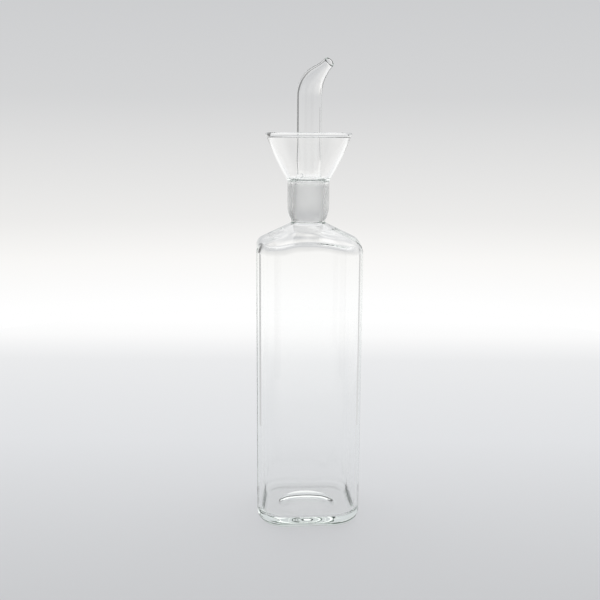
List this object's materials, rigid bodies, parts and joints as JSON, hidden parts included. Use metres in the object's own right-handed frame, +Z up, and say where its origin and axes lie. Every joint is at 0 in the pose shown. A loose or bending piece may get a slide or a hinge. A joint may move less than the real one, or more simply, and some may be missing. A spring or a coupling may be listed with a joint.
{
  "type": "oil bottle with pourer",
  "caption": "Tall square clear-glass oil bottle with a lift-out glass pourer: ground cone, drip funnel and bent drawn-out spout.",
  "frame": {"origin": "middle of the base at table level", "axes": "+Z up along the neck, flat sides facing +X, -X, +Y and -Y, spout leaning over the corner between +X and -Y"},
  "size_m": [0.06, 0.06, 0.2659],
  "materials": {
    "clear_glass": "clear polished blown glass, faint green where it is thick",
    "ground_glass": "frosted by grinding on the mating faces"
  },
  "bodies": {
    "bottle": {"bottle_body": "clear_glass", "neck_socket": "ground_glass"},
    "pourer": {"ground_cone": "ground_glass", "drip_funnel": "clear_glass", "spout_tube": "clear_glass"}
  },
  "joints": [
    {"name": "pourer_lift", "type": "slide", "parent": "bottle", "child": "pourer", "axis": [0, 0, 1], "range_m": [0, 0.03]}
  ]
}
